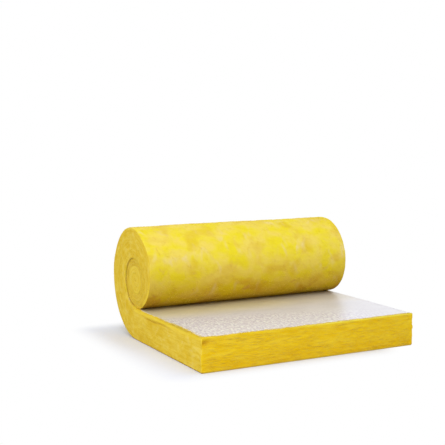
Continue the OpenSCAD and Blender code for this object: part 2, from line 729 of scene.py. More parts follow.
@dataclass(frozen=True)
class Relief:
    """Unevenness of the soft mat.

    Heights, sizes, widths and ranges along the mat are metres, and a share is one of the
    thickness, counted from the outer side.
    """

    winding: Winding = Winding()
    lumps: Lumps = Lumps(0.0030, (0.16, 0.12), 11)
    dimples: Lumps = Lumps(0.0013, (0.035, 0.022), 12)
    skin_starts: tuple = (2.0, 30.0)
    skin_ends: tuple = (290.0, 345.0)
    layers: Lumps = Lumps(0.0016, (0.11, 0.009), 21)
    hollows: Lumps = Lumps(0.00128, (0.05, 0.03), 22)
    frays: Lumps = Lumps(0.0042, (0.020, 0.016), 23)
    frays_near: tuple = (0.030, 0.0)
    thin_least: float = 0.25
    crown: float = 0.0030
    crown_base: float = 0.4
    bow: float = 0.0050
    bow_drop: float = 0.6
    bow_depths: tuple = (0.03, 0.14)
    bow_least: float = 0.12
    groove_depth: float = 0.0030
    groove_width: float = 0.0038
    groove_share: float = 0.86
    groove_sway: float = 0.03
    groove_waves: float = 19.0
    groove_starts: tuple = (0.30, 0.42)
    groove_ends: tuple = (0.58, 0.72)
    nick_depth: float = 0.0070
    nick_middle: tuple = (-0.583, 0.141)
    nick_size: tuple = (0.020, 0.013)
    streaks: Lumps = Lumps(0.00063, (0.24, 0.012), 31)
    shallows: Lumps = Lumps(0.00045, (0.09, 0.05), 32)
    rim_height: float = 0.0045
    rim_width: float = 0.008
    rim_ahead: float = 0.0022
    rim_least: float = 0.75
    rim_lumps: Lumps = Lumps(1.0, (0.028, 0.028), 42)
    rim_uneven: float = 0.85
    rim_torn: float = 1.6
    rim_right_end: float = 0.985
    torn_starts: tuple = (0.13, 0.17)
    torn_ends: tuple = (0.30, 0.35)
    rim_fades: tuple = (0.62, 0.73)
    seam_close: float = 0.0008
    seam_starts: tuple = (15.0, 60.0)
    lift: Lumps = Lumps(0.0014, (0.21, 0.15), 41)
    lift_fades: tuple = (0.52, 0.66)

    def skin(self, x: np.ndarray, along: np.ndarray, angle: np.ndarray) -> np.ndarray:
        """Height of the outer side's lumps, which fade in after lift-off and out at the foot."""
        height = self.lumps.at(x, along) + self.dimples.at(x, along)
        return height * window(angle, self.skin_starts, self.skin_ends)

    def side(
        self, side: float, along: np.ndarray, share: np.ndarray, depth: np.ndarray
    ) -> np.ndarray:
        """Height of a side of the mat: layers of the felt, a crown and a rounded inner edge.

        The crown is a flat-topped wave of the fourth power, and the inner edge drops by the
        square of the way into its bow. Where the mat is pressed thin, all of them are lower.
        The side is frayed near the cut end, and a groove is torn into the left one.

        Args:
            side: -1 for the left side and 1 for the right one.
            along: Distances along the mat.
            share: Shares of the thickness.
            depth: Thicknesses of the mat there.

        Returns:
            Heights away from the mat.
        """
        rise = share * self.winding.thickness
        thin = np.clip(depth / self.winding.thickness, self.thin_least, 1.0)
        felt = (self.layers.at(along, rise, side) + self.hollows.at(along, rise, side)) * thin
        crown = self.crown * thin * (1.0 - (2.0 * share - 1.0) ** 4 - self.crown_base)
        frayed = self.frays.at(along, rise, side) * eased(along, *self.frays_near)
        least, most = self.bow_depths
        bow = self.bow * np.clip((depth - least) / (most - least), self.bow_least, 1.0)
        edge = np.clip(1.0 - (1.0 - share) * depth / bow, 0.0, 1.0)
        groove = self.groove_depth * self.groove(side, along, share)
        return felt + crown + frayed - self.bow_drop * bow * edge**2 - groove

    def groove(self, side: float, along: np.ndarray, share: np.ndarray) -> np.ndarray:
        """Share of a long torn groove under the facing, on the left side of the flat end.

        The groove is a bell curve across, around a middle that sways as a sine wave.

        Args:
            side: -1 for the left side and 1 for the right one.
            along: Distances along the mat.
            share: Shares of the thickness.

        Returns:
            Shares from 0 to 1.
        """
        middle = self.groove_share + self.groove_sway * np.sin(along * self.groove_waves)
        off = (share - middle) * self.winding.thickness / self.groove_width
        return np.exp(-(off**2)) * window(along, self.groove_starts, self.groove_ends) * (side < 0)

    def nick(self, x: np.ndarray, share: np.ndarray) -> np.ndarray:
        """Share of a torn nick in the cut face's upper left corner, a bell curve both ways.

        Args:
            x: Places along X.
            share: Shares of the thickness.

        Returns:
            Shares from 0 to 1.
        """
        off_x = (x - self.nick_middle[0]) / self.nick_size[0]
        off_z = (share * self.winding.thickness - self.nick_middle[1]) / self.nick_size[1]
        return np.exp(-(off_x**2) - off_z**2)

    def cut(self, x: np.ndarray, share: np.ndarray) -> np.ndarray:
        """Height of the cut face: long streaks of torn fibre, shallow hollows and the nick.

        Args:
            x: Places along X.
            share: Shares of the thickness.

        Returns:
            Heights away from the mat.
        """
        rise = share * self.winding.thickness
        height = self.streaks.at(x, rise) + self.shallows.at(x, rise)
        return height - self.nick_depth * self.nick(x, share)

    def rim(self, half: np.ndarray, along: np.ndarray, angle: np.ndarray) -> np.ndarray:
        """Height of the soft rim that the wool forms around the facing.

        A rounded wave stands along the left side and the cut end, but not along the right
        side. It is uneven along its way, with torn tufts on the left, and fades out before
        the coil's contact. In the winding it is low, and closes the seam over the facing's
        edge.

        Args:
            half: Shares of the half width, from -1 to 1.
            along: Distances along the mat.
            angle: Winding angles.

        Returns:
            Heights above the facing's ground.
        """
        reach = self.winding.width / 2
        inward = np.minimum((1.0 - np.abs(half)) * reach, along + self.rim_ahead)
        wave = np.sin(np.pi * np.clip(inward / self.rim_width, 0.0, 1.0) ** 0.5) ** 2
        lumps = self.rim_lumps.at(half * reach, along)
        torn = window(along, self.torn_starts, self.torn_ends) * (half < 0)
        tufts = self.rim_least + self.rim_uneven * lumps
        tufts = tufts + self.rim_torn * torn * np.maximum(lumps, 0.0)
        flat = self.rim_height * tufts * (half < self.rim_right_end)
        flat = flat * (1.0 - eased(along, *self.rim_fades)) * (angle < 1.0)
        return wave * (flat + self.seam_close * eased(angle, *self.seam_starts))

    def face(self, x: np.ndarray, along: np.ndarray, angle: np.ndarray) -> np.ndarray:
        """Lift of the facing, and of the wool under it, which ends before the coil's contact."""
        fade = (1.0 - eased(along, *self.lift_fades)) * (angle < 1.0)
        return self.lift.at(x, along) * fade


class Side(Enum):
    """Sides of the mat's cross profile, in the order of its vertices."""

    OUTER = 0
    RIGHT = 1
    INNER = 2
    LEFT = 3


@dataclass(frozen=True)
class Profile:
    """Cross profile of the mat, with one entry for each vertex of a ring.

    round_x and round_z are the way that a vertex moves in and up for the rounded corners of
    the outer side, in corner radii. half is its share of the half width, share that of the
    thickness, and side the number of its side.
    """

    round_x: np.ndarray
    round_z: np.ndarray
    half: np.ndarray
    share: np.ndarray
    side: np.ndarray

    def masks(self) -> tuple:
        """Masks of the vertices on the outer, right, inner and left side."""
        return tuple(self.side == side.value for side in Side)


@dataclass(frozen=True)
class Marks:
    """Strengths, widths and winding angles of the masks that steer the wool's finish.

    A rise is one of the rounded outer corner, from 0 on the outer side to 1 on the mat's
    left or right side. Most of the masks paint shade into the colour: in the torn groove and
    the nick, in the seams between the turns, along the edges that meet the floor and down
    the low front of the roll.
    """

    groove: float = 0.5
    nick: float = 0.6
    inner_seam: float = 0.08
    inner_seam_width: float = 0.004
    inner_seam_from: float = 60.0
    outer_seam_width: float = 0.008
    outer_seam_full: float = 1.3
    outer_seam_rise: float = 0.2
    outer_seam_starts: tuple = (366.0, 384.0)
    outer_seam_ends: tuple = (455.0, 535.0)
    floor: float = 0.75
    floor_rise: tuple = (0.02, 0.98)
    floor_ends: tuple = (4.0, 24.0)
    front: float = 0.45
    front_width: float = 0.003
    shade_front: tuple = (222.0, 308.0)
    shade_foot: tuple = (296.0, 328.0)
    shade_back: float = 0.8
    shade_ends: tuple = (330.0, 348.0)

    def build(self, track: Track, relief: Relief, profile: Profile) -> dict:
        """Work out the masks for all rings.

        Args:
            track: Stations of the mat.
            relief: Unevenness of the mat.
            profile: Cross profile of the mat.

        Returns:
            Masks of shape (stations, profile): side for the mat's sides, shade_mark for
            painted shade in the groove, the seams and along the floor's edges, low for painted
            shade down the low front of the roll, and cut for the wool that is coloured as on the
            cut end.
        """
        depth, along, angle = (a[:, None] for a in (track.depth, track.along, track.angle))
        outer, right, inner, left = profile.masks()
        round_z, share = profile.round_z, profile.share
        sides = left | right
        # Painted shade in the seams: along the sides' inner edges past the lead turn's start, and
        # along the outer corner of the coil's first turn
        seam = np.clip(1.0 - (1.0 - share) * depth / self.inner_seam_width, 0.0, 1.0)
        seam = self.inner_seam * seam * sides * (angle > self.inner_seam_from)
        gap = np.clip(self.outer_seam_full - share * depth / self.outer_seam_width, 0.0, 1.0)
        gap = gap * (sides | (outer & (round_z > self.outer_seam_rise)))
        gap = gap * window(angle, self.outer_seam_starts, self.outer_seam_ends)
        # Painted contact shade along the flat end's rounded lower edges and the cut end's lower
        # front edge, where the mat meets the floor
        lowest, highest = self.floor_rise
        corner = outer * (round_z > lowest) * (round_z < highest)
        floor = self.floor * corner * (1.0 - eased(angle, *self.floor_ends))
        floor = np.maximum(floor, self.front * outer * (along < self.front_width))
        # Painted shade in the torn groove, added to the painted shade of the seams and the floor's
        # edges
        shade_mark = self.groove * relief.groove(-1.0, along, share) * left + seam + gap + floor
        # Painted shade down the low front of the roll towards the contact, easing off again under
        # the coil
        low = 0.5 * (eased(angle, *self.shade_front) + eased(angle, *self.shade_foot))
        low = low - self.shade_back * eased(angle, *self.shade_ends)
        masks = {
            "side": sides + outer * eased(round_z),
            "shade_mark": shade_mark,
            "low": low,
            "cut": inner * (angle < 1.0),
        }
        return {name: np.broadcast_to(mask, shade_mark.shape) for name, mask in masks.items()}


@dataclass
class WoolMat:
    """The glass wool itself: one closed surface from the cut end to the eye.

    Its outer corners are rounded by corner_share of the thickness, and by the share
    eye_shrink less around the eye. Under the facing its inner side lies lower by sunk, which
    fades towards the edges by the power sunk_power. The cut end's edges round off by
    cut_round, and its relief fades over foot_edge and head_edge of the thickness and over
    end_edge of the width.
    """

    track: Track
    relief: Relief
    marks: Marks = Marks()
    columns: int = 148
    corner_steps: int = 4
    levels: int = 20
    level_power: float = 1.5
    first_level: float = 0.02
    face_columns: int = 34
    rim_steps: tuple = (0.0008, 0.0020, 0.0038, 0.0060, 0.0085)
    corner_share: float = 0.032
    eye_shrink: float = 0.5
    eye_angles: tuple = (360.0, 420.0)
    edge_share: float = 0.999
    top_share: float = 0.7
    sunk: float = 0.0006
    sunk_power: int = 20
    cut_round: float = 0.0025
    cut_drop: float = 0.6
    foot_edge: tuple = (0.0, 0.08)
    head_edge: tuple = (0.9, 1.0)
    head_drop: float = 0.6
    end_edge: tuple = (0.0, 0.006)

    def _shares(self) -> np.ndarray:
        """Spread a side's vertices over the thickness, by a power of the way up.

        Returns:
            Shares of the thickness, closer near the facing.
        """
        even = np.linspace(0.0, 1.0, self.levels + 1)[1:]
        rise = 1.0 - (1.0 - even) ** self.level_power
        rise[0] = self.first_level
        return self.corner_share + (1.0 - self.corner_share) * rise

    def _back(self) -> np.ndarray:
        """Spread the inner side's vertices over the width, from right to left.

        Returns:
            Shares of the half width, closer along both rims.
        """
        rim = 1.0 - np.array(self.rim_steps) / (self.track.winding.width / 2)
        even = np.linspace(rim[-1], -rim[-1], self.face_columns + 1 - 2 * len(rim))[1:-1]
        return np.concatenate([rim, even, -rim[::-1], [-1.0]])

    def profile(self) -> Profile:
        """Lay out the cross profile, in the order that its faces need.

        It runs along the outer side from left to right with corners rounded as quarter
        circles, up the right side, back along the inner side and down the left side.

        Returns:
            The profile.
        """
        bow = np.radians(np.linspace(TURN / 4, 0.0, self.corner_steps + 1))
        span = np.linspace(-1.0, 1.0, self.columns + 1)[1:-1]
        inward, upward = 1.0 - np.sin(bow), 1.0 - np.cos(bow)
        ones, wide = np.ones(len(bow)), len(span) + 2 * len(bow)
        shares, back = self._shares(), self._back()
        down = shares[::-1][1:]
        rest = np.zeros(len(shares) + len(back) + len(down))
        top = [np.ones(len(shares)), back, -np.ones(len(down))]
        counts = [wide, len(shares), len(back), len(down)]
        return Profile(
            round_x=np.concatenate([inward, -span, -inward[::-1], rest]),
            round_z=np.concatenate([upward, 0.0 * span, upward[::-1], rest]),
            half=np.concatenate([-ones, span, ones, *top]),
            share=np.concatenate([np.zeros(wide), shares, np.ones(len(back)), down]),
            side=np.repeat([side.value for side in Side], counts),
        )

    def rings(self, profile: Profile) -> tuple:
        """Carry the profile along the track and press the relief into it.

        A vertex starts at its place between the outer and the inner point of the station.
        The outer side then moves along its normal, the sides along X, and the inner side
        follows the facing. Near the cut end the sides and the underside round off as a
        quarter circle.

        Args:
            profile: Cross profile of the mat.

        Returns:
            Vertices and mat coordinates, both of shape (stations, profile, 3).
        """
        track, relief, winding = self.track, self.relief, self.track.winding
        half, share, round_z = profile.half, profile.share, profile.round_z
        outer, right, inner, left = profile.masks()
        depth, along, angle = (a[:, None] for a in (track.depth, track.along, track.angle))
        shrink = 1.0 - self.eye_shrink * eased(angle, *self.eye_angles)
        corner = self.corner_share * depth * shrink
        down = share * depth + round_z * corner
        plane = track.outer[:, None, :] + track.across[:, None, :] * down[..., None]
        left_end, right_end = (winding.reach(sign, angle, plane[..., 1]) for sign in (-1.0, 1.0))
        across = (half + 1.0) / 2.0
        x = across * right_end - (1.0 - across) * left_end + profile.round_x * corner
        skin = relief.skin(x, along, angle) * (1.0 - round_z) * outer
        plane = plane + track.normal[:, None, :] * skin[..., None]
        full = share + round_z * self.corner_share
        for mask, sign in ((right, 1.0), (left, -1.0)):
            amount = mask + outer * (half * sign > self.edge_share) * eased(round_z)
            x = x + sign * relief.side(sign, along, full, depth) * amount
        sunk = self.sunk * (1.0 - np.abs(half) ** self.sunk_power)
        lifted = relief.face(x, along, angle) - sunk
        lifted = lifted * (inner + (left | right) * eased(share, self.top_share, 1.0))
        lifted = lifted + relief.rim(half, along, angle) * inner
        plane = plane + track.inward[:, None, :] * lifted[..., None]
        gone = np.clip(1.0 - along / self.cut_round, 0.0, 1.0)
        inset = self.cut_round * (1.0 - np.sqrt(1.0 - gone**2)) * self.cut_drop
        x = x - np.sign(half) * inset * (np.abs(half) > self.edge_share)
        plane[..., 1] = np.maximum(plane[..., 1] + inset * outer, 0.0)
        points = np.concatenate([x[..., None], plane], axis=-1)
        return points, triple(x, along, full * winding.thickness)

    def cut_face(self, ring: np.ndarray, first: int) -> tuple:
        """Fill the cut end with a grid of streaked relief.

        Row k of the grid runs from the left side's vertex k to the right side's, spread as
        the outer side's vertices are, and its inner points move along Y by the relief,
        which fades towards the edges. The coarse inner side is stitched to the last row by
        a fan.

        Args:
            ring: Vertices of the first ring, shape (profile, 3), numbered from 0.
            first: Number of the first new vertex.

        Returns:
            New vertices, quads and triangles.
        """
        wide = self.columns + 2 * self.corner_steps
        count, rows = len(ring), self.levels - 1
        level = np.arange(1, rows + 1)
        left, right = ring[count - level], ring[wide + level]
        base = ring[: wide + 1, 0]
        spread = (base - base[0]) / (base[-1] - base[0])
        grid = left[:, None, :] + (right - left)[:, None, :] * spread[1:-1, None]
        share = grid[..., 2] / self.track.winding.thickness
        head = 1.0 - self.head_drop * eased(share, *self.head_edge)
        edge = np.minimum(eased(share, *self.foot_edge), head)
        edge = edge * eased(np.minimum(spread, 1.0 - spread)[1:-1], *self.end_edge)
        grid[..., 1] -= self.relief.cut(grid[..., 0], share) * edge
        number = np.empty((rows + 1, wide + 1), dtype=np.int64)
        number[0] = np.arange(wide + 1)
        number[1:, 0], number[1:, -1] = count - level, wide + level
        number[1:, 1:-1] = first + np.arange(rows * (wide - 1)).reshape(rows, wide - 1)
        top = (count - self.levels - np.arange(self.face_columns + 1)) % count
        halfway = 0.5 * (ring[top[1:], 0] + ring[top[:-1], 0])
        near = np.searchsorted(halfway, 0.5 * (base[1:] + base[:-1]))
        fan = np.stack([number[-1, :-1], number[-1, 1:], top[near]], axis=1)
        joints = np.arange(self.face_columns)
        middle = number[-1, np.searchsorted(near, joints, side="right")]
        links = np.stack([middle, top[joints + 1], top[joints]], axis=1)
        return grid.reshape(-1, 3), grid_quads(number), np.concatenate([fan, links])

    def build(self) -> bpy.types.Object:
        """Make the mat's mesh from its rings, the cut face and a hub that closes the eye.

        Returns:
            The piece, which stands for the CAD wool.
        """
        profile = self.profile()
        points, mat = self.rings(profile)
        masks = self.marks.build(self.track, self.relief, profile)
        number = closed(np.arange(points[..., 0].size).reshape(points.shape[:2]))
        cut, cut_quads, cut_triangles = self.cut_face(points[0], points[..., 0].size)
        hub = points[..., 0].size + len(cut)
        last = number[-1]
        tail = np.stack([last[1:], last[:-1], np.full(len(last) - 1, hub)], axis=1)
        zero = np.zeros(len(cut))
        # Painted shade in the nick of the cut face
        nick = self.relief.nick(cut[:, 0], cut[:, 2] / self.track.winding.thickness)
        on_cut = {"side": zero, "shade_mark": self.marks.nick * nick, "low": zero, "cut": zero + 1.0}
        spots = [mat.reshape(-1, 3), triple(cut[:, 0], 0.0, cut[:, 2]), mat[-1].mean(0)[None]]
        attributes = {"mat": np.concatenate(spots)}
        for name, mask in masks.items():
            attributes[name] = np.concatenate([mask.ravel(), on_cut[name], [0.0]])
        piece = mesh_object(
            "wool_mat",
            np.concatenate([points.reshape(-1, 3), cut, points[-1].mean(0)[None]]),
            [grid_quads(number.T), cut_quads, cut_triangles, tail],
            attributes,
        )
        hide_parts("wool_blanket")
        return piece


@dataclass
class FoilSheet:
    """The facing: one thin closed sheet on the inner side of the whole mat.

    Its edges are drawn in from the mat's own: by left_in and right_in on the flat end, by
    coil_in where the coil sits in on the left, and by left_in again on the wound right.
    """

    track: Track
    relief: Relief
    columns: int = 118
    first: int = 4
    thin: float = 0.00035
    left_in: float = 0.0065
    right_in: float = 0.0010
    coil_in: float = 0.0175
    coil_along: tuple = (0.69, 0.75)
    wound_angles: tuple = (15.0, 60.0)

    def surfaces(self) -> tuple:
        """Carry a flat strip along the inner side, with its back just under its front.

        The back lies on the mat's inner side and follows its lift, and the front lies one
        thickness further inward.

        Returns:
            Points of the back and of the front, both of shape (stations, columns + 1, 3),
            and the distances along the mat, shape (stations, 1).
        """
        track, first, winding = self.track, self.first, self.track.winding
        across = np.linspace(0.0, 1.0, self.columns + 1)
        along, angle = track.along[first:, None], track.angle[first:, None]
        inner, inward = track.inner[first:, None, :], track.inward[first:, None, :]
        left_in = self.left_in + (self.coil_in - self.left_in) * eased(along, *self.coil_along)
        wound = eased(angle, *self.wound_angles)
        right_in = self.right_in + (self.left_in - self.right_in) * wound
        left = winding.reach(-1.0, angle, inner[..., 1]) - left_in
        right = winding.reach(1.0, angle, inner[..., 1]) - right_in
        x = across * right - (1.0 - across) * left
        lift = self.relief.face(x, along, angle)[..., None]
        back = np.concatenate([x[..., None], inner + inward * lift], axis=-1)
        front = back.copy()
        front[..., 1:] += inward * self.thin
        return back, front, along

    def build(self) -> bpy.types.Object:
        """Close the strip's two surfaces into one sheet.

        Returns:
            The piece, which stands for the CAD facing.
        """
        back, front, along = self.surfaces()
        ring = np.concatenate([front, back[:, ::-1]], axis=1)
        number = np.arange(ring[..., 0].size).reshape(ring.shape[:2])
        wide = self.columns + 1
        top, under = number[:, :wide], number[:, wide:][:, ::-1]
        ends = [np.stack([under[0], top[0]]), np.stack([top[-1], under[-1]])]
        quads = np.concatenate([grid_quads(closed(number)), *map(grid_quads, ends)])
        mat = triple(ring[..., 0], along, 0.0).reshape(-1, 3)
        piece = mesh_object("foil_sheet", ring.reshape(-1, 3), [quads], {"mat": mat})
        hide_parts("foil_facing")
        return piece


class Face(Enum):
    """Faces of the mat that carry loose fibres."""

    OUTER = "outer"
    LEFT = "left"
    RIGHT = "right"
    CUT = "cut"
    RIM = "rim"


@dataclass(frozen=True)
class FibreField:
    """Loose fibres that lie on some faces of the mat.

    Lengths are metres and headings are degrees from the face's first direction, which is X
    on the outer side and the cut, and the way along the mat on the sides. The rim's first
    direction runs from the coil down the left edge, across the cut end and back up.

    taper is the share of its thickness that a fibre loses, bend the spread of the bends in
    radians, lifts the range of the shares of its rise, clear the radii that it keeps from
    its face, and floor its least height. A fibre starts start_margin or more from the edges
    of its face, and side_margin from the outer edge of a side, and margin and top_margin
    hold the whole fibre. On the roll, fibres start from roll_from on to roll_short before
    its end, and on the sides up to coil_share of the coil. The rim's left edge is rim_reach
    long. Its tufts start from rim_from on, in rim_band from the edge, and torn_share of them
    in the torn stretch, whose ends are torn_before from the corner.
    """

    name: str
    faces: tuple
    seed: int
    count: int
    length: tuple
    radius: tuple
    rise: float
    heading: float
    spread: float
    steps: int = 5
    corners: int = 3
    taper: float = 0.66
    bend: float = 0.9
    lifts: tuple = (0.1, 1.0)
    clear: float = 0.3
    floor: float = 0.0004
    start_margin: float = 0.004
    side_margin: float = 0.006
    margin: float = 0.002
    top_margin: float = 0.001
    roll_from: float = 0.80
    roll_short: float = 0.10
    coil_share: float = 0.55
    track_share: float = 0.96
    rim_reach: float = 0.56
    rim_from: float = 0.03
    rim_band: tuple = (0.0005, 0.007)
    rim_least: float = -0.0015
    torn_before: tuple = (0.34, 0.14)
    torn_share: float = 0.3

    def _starts(self, track: Track, face: Face, random: np.random.Generator, count: int) -> tuple:
        """Random first points of the fibres on a face.

        Args:
            track: Stations of the mat.
            face: The face.
            random: Source of random numbers.
            count: Number of fibres.

        Returns:
            First and second face coordinates, as _ground takes them.
        """
        margin, thick = self.start_margin, track.winding.thickness
        half = track.winding.width / 2 - margin
        turn = float(np.interp(TURN, track.angle, track.along))
        if face is Face.OUTER:
            first = random.uniform(-half, half, count)
            return first, random.uniform(self.roll_from, turn - self.roll_short, count)
        if face is Face.CUT:
            first = random.uniform(-half, half, count)
            return first, random.uniform(margin, thick - margin, count)
        if face is Face.RIM:
            far, near = (self.rim_reach - before for before in self.torn_before)
            torn = random.uniform(far, near, count)
            whole = random.uniform(self.rim_from, self.rim_reach + 2 * half, count)
            first = np.where(random.uniform(0, 1, count) < self.torn_share, torn, whole)
            return first, random.uniform(*self.rim_band, count)
        end = turn + (track.along[-1] - turn) * self.coil_share
        first = random.uniform(margin, end, count)
        return first, random.uniform(self.side_margin, thick - margin, count)

    @staticmethod
    def _held(line: np.ndarray, low: float, high: float) -> np.ndarray:
        """Move each row of coordinates as a whole, so that it lies between low and high."""
        line = line - np.maximum(line.max(axis=1, keepdims=True) - high, 0.0)
        return line + np.maximum(low - line.min(axis=1, keepdims=True), 0.0)

    def _lines(self, track: Track, face: Face, random: np.random.Generator, count: int) -> tuple:
        """Lines of the fibres, each of which bends evenly from its first heading.

        Args:
            track: Stations of the mat.
            face: The face.
            random: Source of random numbers.
            count: Number of fibres.

        Returns:
            First and second face coordinates, both of shape (fibres, steps).
        """
        first, second = self._starts(track, face, random, count)
        length = random.uniform(*self.length, count)
        heading = np.radians(random.normal(self.heading, self.spread, count))
        heading += np.pi * random.integers(0, 2, count)
        bend = random.normal(0.0, self.bend, count)
        turned = heading[:, None] + bend[:, None] * (np.linspace(0.0, 1.0, self.steps) - 0.5)
        stride = length[:, None] / (self.steps - 1)
        a = first[:, None] + np.cumsum(np.cos(turned) * stride, axis=1)
        b = second[:, None] + np.cumsum(np.sin(turned) * stride, axis=1)
        if face in (Face.OUTER, Face.CUT):
            half = track.winding.width / 2 - self.margin
            a = self._held(a, -half, half)
        else:
            a = self._held(a, self.margin, track.along[-1] * self.track_share)
        if face is not Face.OUTER:
            least = self.rim_least if face is Face.RIM else self.margin
            b = self._held(b, least, track.winding.thickness - self.top_margin)
        return a, b

    def _ground(
        self, track: Track, relief: Relief, face: Face, a: np.ndarray, b: np.ndarray
    ) -> tuple:
        """Place and outward direction on a face.

        Args:
            track: Stations of the mat.
            relief: Unevenness of the mat.
            face: The face.
            a: X on the outer side and the cut, the way around on the rim, else that along.
            b: The way along on the outer side, the distance in from the rim's edge, else
                the depth from the outer side.

        Returns:
            Points and unit normals, both of shape (..., 3).
        """
        winding, front = track.winding, track.outer[0, 0]
        zero, one = np.zeros_like(a), np.ones_like(a)
        if face is Face.OUTER:
            normal = track.at(b, "normal")
            height = relief.skin(a, b, track.at(b, "angle"))
            plane = track.at(b, "outer") + normal * height[..., None]
            return triple(a, *np.moveaxis(plane, -1, 0)), triple(zero, *np.moveaxis(normal, -1, 0))
        if face is Face.CUT:
            height = relief.cut(a, b / winding.thickness)
            return triple(a, front - height, b), triple(zero, -one, zero)
        if face is Face.RIM:
            half, corner = winding.width / 2, self.rim_reach
            left, right = a < corner, a > corner + 2 * half
            x = np.where(left, b - half, np.where(right, half - b, a - corner - half))
            along = np.where(left, corner - a, np.where(right, a - corner - 2 * half, b))
            lift = relief.face(x, along, zero) + relief.rim(x / half, along, zero) + self.floor
            return triple(x, front + along, winding.thickness + lift), triple(zero, zero, one)
        sign = -1.0 if face is Face.LEFT else 1.0
        depth, share = track.at(a, "depth"), b / winding.thickness
        plane = track.at(a, "outer") + track.at(a, "across") * (share * depth)[..., None]
        reach = winding.reach(sign, track.at(a, "angle"), plane[..., 1])
        x = sign * (reach + relief.side(sign, a, share, depth))
        return triple(x, *np.moveaxis(plane, -1, 0)), triple(sign * one, zero, zero)

    def _tubes(
        self, place: np.ndarray, normal: np.ndarray, random: np.random.Generator
    ) -> np.ndarray:
        """Thin tapering tubes around the fibres' lines.

        A fibre arches over its face as half a sine wave, and its end rises by the square of
        the way along it, times the cube of a random number.

        Args:
            place: Points of the lines on their face, shape (fibres, steps, 3).
            normal: Outward directions there, of the same shape.
            random: Source of random numbers.

        Returns:
            Points of the tubes, shape (fibres, steps, corners, 3).
        """
        count = len(place)
        share = np.linspace(0.0, 1.0, self.steps)
        radius = random.uniform(*self.radius, count)[:, None] * (1.0 - self.taper * share)
        loose = random.uniform(0.0, 1.0, count)[:, None] ** 3
        rise = self.rise * (0.5 * np.sin(np.pi * share) + loose * share**2)
        rise = rise * random.uniform(*self.lifts, count)[:, None] + radius * self.clear
        place = place + normal * rise[..., None]
        ahead = unit(np.gradient(place, axis=1))
        beside = unit(np.cross(ahead, normal))
        above = np.cross(beside, ahead)
        around = np.radians(TURN / 4 + TURN * np.arange(self.corners) / self.corners)[:, None]
        ring = np.sin(around) * above[..., None, :] + np.cos(around) * beside[..., None, :]
        tube = place[..., None, :] + ring * radius[..., None, None]
        tube[..., 2] = np.maximum(tube[..., 2], self.floor)
        return tube

    def build(self, track: Track, relief: Relief) -> bpy.types.Object:
        """Lay every fibre as a thin closed tube on its face.

        Args:
            track: Stations of the mat.
            relief: Unevenness of the mat.

        Returns:
            The piece with all fibres of the field.
        """
        random = np.random.default_rng(self.seed)
        count = self.count // len(self.faces)
        ring = self.steps * self.corners
        tubes, tones = [], []
        for face in self.faces:
            a, b = self._lines(track, face, random, count)
            tubes.append(self._tubes(*self._ground(track, relief, face, a, b), random))
            tones.append(np.repeat(random.uniform(0.0, 1.0, count), ring))
        points = np.concatenate(tubes).reshape(-1, 3)
        number = np.arange(len(points)).reshape(-1, self.steps, self.corners)
        walls = grid_quads(closed(number)[..., ::-1])
        ends = np.concatenate([number[:, 0], number[:, -1, ::-1]])
        tone = {"tone": np.concatenate(tones)}
        piece = mesh_object(self.name, points, [walls, ends], tone)
        return piece


# The finishes


